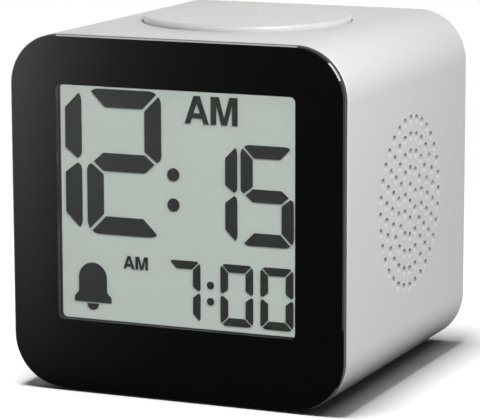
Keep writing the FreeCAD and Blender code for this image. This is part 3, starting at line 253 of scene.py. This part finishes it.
def clear(name, tint, shine, haze, bend=None):
    """A clear sheet: what is behind it shows through with a slight tint, and it mirrors a share of the
    surroundings that grows towards grazing angles. Fine dust changes the haze of the mirror. With a bend,
    its front and back refract by that index, and light from lamps and from matt or mirroring faces still
    goes straight through."""
    straight_mirror = 0.04
    graze_power = 5.0
    dust_size = 3 * MM
    dust_start = 0.4
    material, tree, out = new_material(name)
    facing = add(tree, "LayerWeight", None, Blend=0.5).outputs["Facing"]
    share = spread(tree, math_of(tree, "POWER", facing, graze_power), straight_mirror * shine, shine)
    dust = noise(tree, object_place(tree), dust_size)
    rough = spread(tree, dust, haze, haze * 1.6 + 0.01, dust_start, cloud_high)
    through = add(tree, "BsdfTransparent", None, Color=(*tint, 1.0)).outputs[0]
    mirror = add(tree, "BsdfAnisotropic", None, Color=grey(1.0), Roughness=rough).outputs[0]
    if bend:
        bent = add(tree, "BsdfRefraction", None, Color=(*tint, 1.0), Roughness=0.0, IOR=bend).outputs[0]
        straight = edge_of_plate(tree)
        path = add(tree, "LightPath")
        for ray in ("Is Shadow Ray", "Is Diffuse Ray", "Is Glossy Ray"):
            straight = math_of(tree, "MAXIMUM", straight, path.outputs[ray])
        mix = layered(tree, straight, layered(tree, share, bent, mirror), through)
    else:
        mix = layered(tree, share, through, mirror)
    tree.links.new(mix, out)
    return material


def black_plate(name, colour, front_roughness, edge_roughness):
    """Gloss black front with satin edges and window walls. Its level wanders by a hair over wide patches."""
    patch = 6 * MM
    drift = 0.2
    wander = 0.01
    index = 1.5
    material, tree, out = new_material(name)
    wide = noise(tree, object_place(tree), patch)
    base = mixed(tree, wide, shade(colour, 1 - drift), shade(colour, 1 + drift))
    front = clouded(tree, wide, front_roughness - wander, front_roughness + wander)
    edge = math_of(tree, "MULTIPLY", edge_of_plate(tree), edge_roughness)
    rough = math_of(tree, "ADD", front, edge)
    shader = add(tree, "BsdfPrincipled", None, Base_Color=base, Roughness=rough,
                 Normal=bumps(tree, wide, 0.002 * MM), IOR=index)
    tree.links.new(shader.outputs[0], out)
    return material


def striped(name, first, second, pitch, axis, roughness, sharpness=0.2, **shader_values):
    """Bands of two colours across an axis, one pair to each pitch, with a bump between them."""
    grain = 0.3 * MM
    band_depth = 0.05 * MM
    material, tree, out = new_material(name)
    place = object_place(tree)
    wave = add(tree, "TexWave", {"bands_direction": axis}, Vector=place, Scale=band_length / pitch,
               Distortion=0.0).outputs["Fac"]
    band = spread(tree, wave, 0.0, 1.0, 0.5 - sharpness, 0.5 + sharpness)
    fine = noise(tree, place, grain)
    base = mixed(tree, math_of(tree, "MULTIPLY", band, spread(tree, fine, 0.9, 1.0)), first, second)
    rough = clouded(tree, fine, roughness - 0.05, roughness + 0.1)
    shader = add(tree, "BsdfPrincipled", None, Base_Color=base, Roughness=rough,
                 Normal=bumps(tree, wave, band_depth, 0.6), **shader_values)
    tree.links.new(shader.outputs[0], out)
    return material


def circuit(name):
    """Green solder mask over a net of copper tracks, with gold pads where the tracks meet."""
    cell_size = 3.2 * MM
    patch = 6 * MM
    track_depth = 0.03 * MM
    mask_dark = (0.008, 0.075, 0.028)
    mask_light = (0.012, 0.1, 0.04)
    track_green = (0.03, 0.17, 0.06)
    pad_gold = (0.75, 0.58, 0.25)
    mask_roughness = 0.32
    pad_roughness = 0.22
    material, tree, out = new_material(name)
    place = object_place(tree)
    cell = {"feature": "F1", "distance": "CHEBYCHEV"}
    ends = add(tree, "TexVoronoi", cell, Vector=place, Scale=1 / cell_size, Randomness=0.7)
    lines = add(tree, "TexVoronoi", {"feature": "DISTANCE_TO_EDGE"}, Vector=place, Scale=1 / cell_size,
                Randomness=0.35).outputs["Distance"]
    track = spread(tree, lines, 1.0, 0.0, 0.07, 0.1)
    pad = spread(tree, ends.outputs["Distance"], 1.0, 0.0, 0.13, 0.16)
    mask = mixed(tree, noise(tree, place, patch), mask_dark, mask_light)
    base = mixed(tree, pad, mixed(tree, track, mask, track_green), pad_gold)
    rough = spread(tree, pad, mask_roughness, pad_roughness)
    shader = add(tree, "BsdfPrincipled", None, Base_Color=base, Roughness=rough, Metallic=pad,
                 Normal=bumps(tree, track, track_depth, 0.5))
    tree.links.new(shader.outputs[0], out)
    return material


def sleeve(name):
    """Printed film of a dry cell: a dark body with a copper-coloured band towards one end, and a pale ring
    beside the band."""
    band_start = 12 * MM
    ring_middle = 11.2 * MM
    ring_half = 0.4 * MM
    grain = 0.5 * MM
    body_dark = (0.025, 0.027, 0.03)
    band_copper = (0.62, 0.3, 0.11)
    ring_pale = (0.7, 0.7, 0.68)
    material, tree, out = new_material(name)
    place = object_place(tree)
    along = place_along(tree, place, "X")
    band = math_of(tree, "GREATER_THAN", along, band_start)
    from_ring = math_of(tree, "ABSOLUTE", math_of(tree, "SUBTRACT", along, ring_middle))
    ring = math_of(tree, "LESS_THAN", from_ring, ring_half)
    fine = noise(tree, place, grain)
    base = mixed(tree, ring, mixed(tree, band, body_dark, band_copper), ring_pale)
    rough = clouded(tree, fine, 0.22, 0.34)
    shader = add(tree, "BsdfPrincipled", None, Base_Color=base, Roughness=rough,
                 Normal=bumps(tree, fine, 0.02 * MM, 0.4), Metallic=math_of(tree, "MULTIPLY", band, 0.6))
    tree.links.new(shader.outputs[0], out)
    return material


def paired(name, first, second, axis, middle):
    """Two leads in one colour each: first below the middle along the axis, second above it."""
    grain = 0.4 * MM
    material, tree, out = new_material(name)
    place = object_place(tree)
    side = math_of(tree, "GREATER_THAN", place_along(tree, place, axis), middle)
    fine = noise(tree, place, grain)
    base = mixed(tree, side, first, second)
    rough = clouded(tree, fine, 0.4, 0.55)
    shader = add(tree, "BsdfPrincipled", None, Base_Color=base, Roughness=rough,
                 Normal=bumps(tree, fine, 0.03 * MM, 0.4))
    tree.links.new(shader.outputs[0], out)
    return material


# Plastics, rubber, paper and film: colour, roughness, then size and depth of the grain

case_white = surface("case_white_plastic", (0.70, 0.70, 0.70), 0.42, 0.35 * MM, 0.004 * MM,
                     drift=0.012, wander=0.05)
cover_white = surface("cover_white_plastic", (0.68, 0.68, 0.68), 0.5, 0.5 * MM, 0.02 * MM,
                      drift=0.02, wander=0.06)
button_white = surface("button_white_plastic", (0.63, 0.63, 0.63), 0.3, 0.3 * MM, 0.003 * MM, drift=0.01)
frame_black = surface("frame_matt_black", (0.012, 0.012, 0.013), 0.5, 0.3 * MM, drift=0.1)
key_grey = surface("key_grey_plastic", (0.28, 0.29, 0.3), 0.48, 0.35 * MM, 0.012 * MM, drift=0.04)
plunger_grey = surface("plunger_grey_plastic", (0.4, 0.4, 0.41), 0.45, 0.3 * MM, 0.008 * MM, drift=0.04)
inner_grey = surface("inner_grey_plastic", (0.5, 0.5, 0.5), 0.55, 0.6 * MM, 0.02 * MM, drift=0.04)
tray_white = surface("tray_white_plastic", (0.62, 0.62, 0.61), 0.52, 0.5 * MM, 0.02 * MM)
rubber_dark = surface("foot_rubber", (0.03, 0.03, 0.031), 0.8, 0.25 * MM, 0.03 * MM, drift=0.15)
switch_black = surface("switch_black_plastic", (0.02, 0.02, 0.022), 0.42, 0.3 * MM, drift=0.12)
chip_black = surface("chip_epoxy", (0.018, 0.018, 0.02), 0.62, 0.2 * MM, 0.02 * MM, drift=0.2)
led_white = surface("led_body", (0.78, 0.76, 0.6), 0.35, 0.3 * MM, 0.005 * MM)
segment_dark = surface("segment_dark", (0.007, 0.0085, 0.008), 0.6, 0.2 * MM, 0.002 * MM, drift=0.06)
reflector_pale = surface("reflector_pale_film", (0.82, 0.88, 0.84), 0.6, 0.12 * MM, 0.003 * MM, drift=0.02)
magnet_ferrite = surface("magnet_ferrite", (0.045, 0.045, 0.047), 0.7, 0.3 * MM, 0.03 * MM, drift=0.25)
cone_paper = surface("cone_paper", (0.035, 0.034, 0.033), 0.85, 0.7 * MM, 0.06 * MM, drift=0.35,
                     stretch=(1, 3, 1))
surround_cloth = surface("surround_cloth", (0.02, 0.02, 0.021), 0.75, 0.35 * MM, 0.05 * MM, drift=0.2)
plate_black = black_plate("plate_gloss_black", (0.0045, 0.0045, 0.0048), 0.04, 0.5)

# Metals: colour, roughness and how the grain is stretched

screw_steel = metal("screw_steel", (0.62, 0.61, 0.6), 0.3, (6, 1, 1))
spring_steel = metal("spring_steel", (0.6, 0.59, 0.57), 0.25)
crystal_steel = metal("crystal_can", (0.72, 0.71, 0.69), 0.22, (1, 1, 8))
can_aluminium = metal("capacitor_can", (0.75, 0.75, 0.76), 0.3, (1, 12, 1))
contact_nickel = metal("contact_nickel", (0.68, 0.66, 0.61), 0.26, (1, 1, 6))
basket_steel = metal("basket_steel", (0.5, 0.5, 0.51), 0.38)
yoke_steel = metal("yoke_zinc", (0.66, 0.65, 0.6), 0.34, grain=0.8 * MM)

# Clear pieces: tint, share mirrored, haze and refractive index

lens_clear = clear("lens_clear", (0.995, 0.998, 0.995), 1.0, 0.03, 1.49)
polariser_film = clear("polariser_film", (0.985, 0.995, 0.985), 0.1, 0.2)
cell_glass = clear("cell_glass", (0.996, 0.999, 0.996), 0.05, 0.05)
guide_clear = clear("guide_clear", (0.96, 0.97, 0.96), 0.3, 0.1)

# Wiring, boards and cells

strip_rubber = striped("strip_rubber", (0.75, 0.55, 0.55), (0.02, 0.02, 0.02), 0.2 * MM, "X", 0.6)
ribbon_pale = striped("ribbon_conductors", (0.72, 0.7, 0.64), (0.55, 0.5, 0.42), 1.0 * MM, "X", 0.4)
coil_copper = striped("coil_winding", (0.65, 0.26, 0.12), (0.3, 0.1, 0.05), 0.18 * MM, "X", 0.35,
                      sharpness=0.4, Metallic=0.8)
board_green = circuit("board_green")
cell_sleeve = sleeve("cell_sleeve")
lead_black = (0.02, 0.02, 0.02)
lead_red = (0.4, 0.02, 0.02)
speaker_leads_middle = 1.05 * MM
battery_leads_middle = 20.0 * MM
speaker_lead = paired("speaker_lead_pvc", lead_black, lead_red, "Y", speaker_leads_middle)
battery_lead = paired("battery_lead_pvc", lead_black, lead_red, "Z", battery_leads_middle)

# The pieces of each finish

keys = ("hour", "minute", "time", "alarm")
finishes = {
    case_white: ["case_shell"],
    plate_black: ["front_plate"],
    lens_clear: ["window_lens"],
    button_white: ["talk_button"],
    cover_white: ["rear_cover", "battery_door"],
    key_grey: [key + "_key" for key in keys] + ["alarm_switch_knob"],
    plunger_grey: [key + "_key_plunger" for key in keys] + ["talk_switch_plunger"],
    rubber_dark: ["foot_front_left", "foot_front_right", "foot_rear_left", "foot_rear_right"],
    screw_steel: ["rear_screws", "inner_screws"],
    frame_black: ["display_frame"],
    polariser_film: ["front_polariser"],
    cell_glass: ["lcd_front_glass", "lcd_rear_glass"],
    segment_dark: ["lcd_segments"],
    reflector_pale: ["reflector_film"],
    guide_clear: ["light_guide"],
    led_white: ["backlight_leds"],
    strip_rubber: ["zebra_strips"],
    board_green: ["display_board", "key_board", "talk_board"],
    chip_black: ["clock_chip", "voice_chip"],
    crystal_steel: ["quartz_crystal"],
    can_aluminium: ["capacitors"],
    ribbon_pale: ["ribbon_cable"],
    inner_grey: ["button_carrier", "speaker_clamp"],
    tray_white: ["battery_tray"],
    spring_steel: ["return_springs", "battery_springs"],
    switch_black: ["talk_switch", "key_switches", "alarm_switch_body"],
    contact_nickel: ["battery_contacts"],
    cell_sleeve: ["battery_upper", "battery_lower"],
    basket_steel: ["speaker_basket"],
    yoke_steel: ["speaker_yoke", "speaker_top_plate"],
    magnet_ferrite: ["speaker_magnet"],
    cone_paper: ["speaker_cone", "dust_cap"],
    surround_cloth: ["speaker_surround"],
    coil_copper: ["voice_coil"],
    speaker_lead: ["speaker_leads"],
    battery_lead: ["battery_leads"],
}
for finish, names in finishes.items():
    for name in names:
        for material_slot in nodes[name].material_slots:
            material_slot.material = finish

# The film and the pane before it share a face: the film's skin stands a hair proud, so that it is met first
skin = nodes["reflector_film"].modifiers.new("skin", "DISPLACE")
skin.strength = film_proud
skin.mid_level = 0.0


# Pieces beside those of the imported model


def placed(name, data):
    """A new object of that mesh, camera or lamp, at the origin."""
    thing = bpy.data.objects.new(name, data)
    bpy.context.scene.collection.objects.link(thing)
    return thing


def pressed_springs():
    """The springs under the talk button, copied with their doubled points merged and hung on the clock's body
    in place of the imported springs.
    """
    springs = nodes["return_springs"].copy()
    springs.data = springs.data.copy()
    wire = bmesh.new()
    wire.from_mesh(springs.data)
    bmesh.ops.remove_doubles(wire, verts=wire.verts, dist=double_reach)
    wire.to_mesh(springs.data)
    wire.free()
    springs.name = "talk_button_springs"
    springs.parent = None
    bpy.context.scene.collection.objects.link(springs)
    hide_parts("return_springs")
    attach(springs, "clock")
    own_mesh(springs)


def raised_marks(name, body, finish, places, radius, height, rings=4, sides=16):
    """Low round or long marks on a face. About each place, points go out by radius times the sine of an angle
    and rise along the face's normal by height times its cosine, for angles from 0 to 90 degrees. A long mark
    is pulled apart by half its straight length each way. A place is the mark's centre, its two directions
    in the face, the normal and that half length."""
    angle = np.linspace(0, math.pi / 2, rings + 1)[1:]
    turn = (np.arange(sides) + 0.5) * 2 * math.pi / sides
    out = np.sin(angle)[:, None] * radius
    up = np.broadcast_to(np.cos(angle)[:, None] * height, (rings, sides))
    flat = np.stack([out * np.cos(turn), out * np.sin(turn), up], -1).reshape(-1, 3)
    local = np.vstack([[[0, 0, height]], flat, [[0, 0, 0]]])
    points, faces = [], []
    for index, (centre, across, along, normal, half) in enumerate(places):
        pulled = local + np.sign(np.round(local[:, 1:2], 9)) * np.array([0, half, 0])
        points.append(pulled @ np.array([across, along, normal], float) + np.array(centre, float))
        first = index * len(local)
        for k in range(sides):
            after = (k + 1) % sides
            faces.append((first, first + 1 + k, first + 1 + after))
            for ring in range(rings - 1):
                low = first + 1 + ring * sides
                faces.append((low + k, low + sides + k, low + sides + after, low + after))
            last = first + 1 + (rings - 1) * sides
            faces.append((last + after, last + k, first + len(local) - 1))
    mesh = bpy.data.meshes.new(name)
    mesh.from_pydata(np.vstack(points).tolist(), [], faces)
    mesh.polygons.foreach_set("use_smooth", np.ones(len(faces), bool))
    mesh.materials.append(finish)
    piece = placed(name, mesh)
    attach(piece, body)


def row_of(count, pitch):
    """Places of that many marks in a row about zero."""
    return (np.arange(count) - (count - 1) / 2) * pitch


def key_pips():
    """One to four pips on the keys, counted from the hour key."""
    for count, key in enumerate(keys, 1):
        low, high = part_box(key + "_key")
        middle = (low + high) / 2
        spots = [((middle.x + step, high.y - mark_sink, middle.z), (-1, 0, 0), Z, Y, 0.0)
                 for step in row_of(count, pip_pitch)]
        raised_marks(key + "_key_pips", key + "_key", key_grey, spots, pip_radius, pip_height)


def button_bars():
    """A sign for sound on the talk button: bars that grow towards the middle one."""
    low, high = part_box("talk_button")
    middle = (low + high) / 2
    spots = [((middle.x + step, middle.y, high.z - mark_sink), X, Y, Z, half)
             for step, half in zip(row_of(len(bar_halves), bar_pitch), bar_halves)]
    raised_marks("talk_button_bars", "talk_button", button_white, spots, bar_radius,
                 bar_height)


pressed_springs()
key_pips()
button_bars()


# Camera


def turn_to(thing, right, up, back, place):
    """Turns a camera or lamp so that its own axes lie along these three, and puts it at the place."""
    matrix = np.eye(4)
    matrix[:3, :3] = np.array([right, up, back]).T
    matrix[:3, 3] = place
    thing.matrix_world = Matrix(matrix.tolist())


def camera_axes():
    """Right, up and back of the camera, from its turn about Z, its rise and its roll."""
    turn, rise, roll = camera_turn, camera_rise, camera_roll
    back = np.array([math.sin(turn) * math.cos(rise), -math.cos(turn) * math.cos(rise), math.sin(rise)])
    right = np.array([math.cos(turn), math.sin(turn), 0.0])
    up = np.cross(back, right)
    return (math.cos(roll) * right + math.sin(roll) * up, math.cos(roll) * up - math.sin(roll) * right, back)


scene = bpy.context.scene
camera_data = bpy.data.cameras.new("camera")
camera_data.sensor_width = sensor_width
camera_data.lens = focal_pixels / image_width * sensor_width
camera_data.clip_start = camera_nearest
scene.camera = placed("camera", camera_data)
turn_to(scene.camera, *camera_axes(), camera_place)


# Floor, backdrop and light


def show_white(tree, lit, white):
    """The lit shader for the light that the object gets, and white where the camera, a reflection or a
    clear piece sees it with no matt surface on the way."""
    path = add(tree, "LightPath")
    seen = math_of(tree, "MAXIMUM", path.outputs["Is Camera Ray"], path.outputs["Is Glossy Ray"])
    seen = math_of(tree, "MAXIMUM", seen, path.outputs["Is Transmission Ray"])
    seen = math_of(tree, "MULTIPLY", seen, math_of(tree, "LESS_THAN", path.outputs["Diffuse Depth"], 0.5))
    return layered(tree, seen, lit, white)


def white_floor():
    """A flat floor that shows the object's shadow near it and is plain white farther off."""
    reach = floor_reach
    mesh = bpy.data.meshes.new("floor")
    mesh.from_pydata([(-reach, -reach, 0), (reach, -reach, 0), (reach, reach, 0), (-reach, reach, 0)], [],
                     [(0, 1, 2, 3)])
    finish, tree, out = new_material("floor_white")
    distance = add(tree, "VectorMath", {"operation": "LENGTH"}, i0=object_place(tree)).outputs["Value"]
    bright = add(tree, "BsdfDiffuse", None, Color=grey(floor_white)).outputs[0]
    bounce = add(tree, "BsdfDiffuse", None, Color=grey(floor_bounce)).outputs[0]
    glow = add(tree, "Emission", None, Color=grey(1.0), Strength=1.0).outputs[0]
    fade = spread(tree, distance, 0.0, 1.0, floor_fade_start, floor_fade_end)
    tree.links.new(show_white(tree, bounce, layered(tree, fade, bright, glow)), out)
    mesh.materials.append(finish)
    sheet = placed("floor", mesh)
    return sheet


def mirror_card(name):
    """A soft card that only reflections see. A point on it lies at share u of the way from its left line to
    its right one and at share v from its near edge to its far one, and glows by v to a power below one,
    times e to the minus of u times a rate. It goes on past its left line with the glow of that line."""
    u, v = np.meshgrid(np.linspace(-card_spare, 1, card_steps), np.linspace(0, 1, card_steps))
    corners = np.array([card_near_left, card_near_right, card_far_left, card_far_right])
    shares = np.stack([(1 - u) * (1 - v), u * (1 - v), (1 - u) * v, u * v], -1)
    points = (shares @ corners).reshape(-1, 3)
    glow = card_glow * v ** card_rise * np.exp(-card_fade * np.maximum(u, 0)) + card_least
    corner = np.arange(card_steps * card_steps).reshape(card_steps, card_steps)
    faces = np.stack([corner[:-1, :-1], corner[:-1, 1:], corner[1:, 1:], corner[1:, :-1]], -1).reshape(-1, 4)
    mesh = bpy.data.meshes.new(name)
    mesh.from_pydata(points.tolist(), [], faces.tolist())
    mesh.attributes.new("glow", "FLOAT", "POINT").data.foreach_set("value", glow.ravel())
    card = placed(name, mesh)
    for ray in ("camera", "diffuse", "transmission", "volume_scatter", "shadow"):
        setattr(card, "visible_" + ray, False)
    finish, tree, out = new_material(name)
    value = add(tree, "Attribute", {"attribute_name": "glow"}).outputs["Fac"]
    tree.links.new(add(tree, "Emission", None, Strength=value).outputs[0], out)
    mesh.materials.append(finish)


def studio_world():
    """A dim even sky that looks white."""
    world = bpy.data.worlds.new("studio")
    world.use_nodes = True
    tree = world.node_tree
    tree.nodes.clear()
    sky = add(tree, "Background", None, Color=grey(1.0), Strength=sky_strength).outputs[0]
    white = add(tree, "Background", None, Color=grey(1.0), Strength=1.0).outputs[0]
    tree.links.new(show_white(tree, sky, white), add(tree, "OutputWorld").inputs["Surface"])
    return world


def softbox(name):
    """The soft rectangular lamp of that name, which faces the middle of the body."""
    place, (width, height), power = lamps[name]
    data = bpy.data.lights.new(name, "AREA")
    data.shape = "RECTANGLE"
    data.size, data.size_y = width, height
    data.energy = power
    back = np.array(place, float) - np.array(body_middle, float)
    back /= np.linalg.norm(back)
    side = np.cross(Y if abs(back[2]) > steep_look else Z, back)
    side /= np.linalg.norm(side)
    lamp = placed(name, data)
    turn_to(lamp, side, np.cross(back, side), back, place)
    return lamp


def lights_only(lamp, receivers, included):
    """The lamp lights only the receivers, or all but them."""
    group = bpy.data.collections.new(lamp.name + "_receivers")
    for receiver in receivers:
        group.objects.link(receiver)
    lamp.light_linking.receiver_collection = group
    for link in group.collection_objects:
        link.light_linking.link_state = "INCLUDE" if included else "EXCLUDE"


floor = white_floor()
mirror_card("mirror_card")
scene.world = studio_world()
display = [nodes[name] for name in ("reflector_film", "lcd_segments")]
lights_only(softbox("key_lamp"), [floor] + display, False)
for name in ("back_lamp", "left_lamp"):
    lamp = softbox(name)
    lights_only(lamp, [floor] + display, False)
    lamp.visible_glossy = False
lamp = softbox("display_lamp")
lights_only(lamp, display, True)
lamp.light_linking.blocker_collection = lamp.light_linking.receiver_collection
lights_only(softbox("floor_lamp"), [floor], True)
lights_only(softbox("floor_fill"), [floor], True)
lights_only(softbox("rim_lamp"), [nodes["front_plate"]], True)

scene.view_settings.view_transform = "Standard"
scene.cycles.transparent_max_bounces = clear_layers
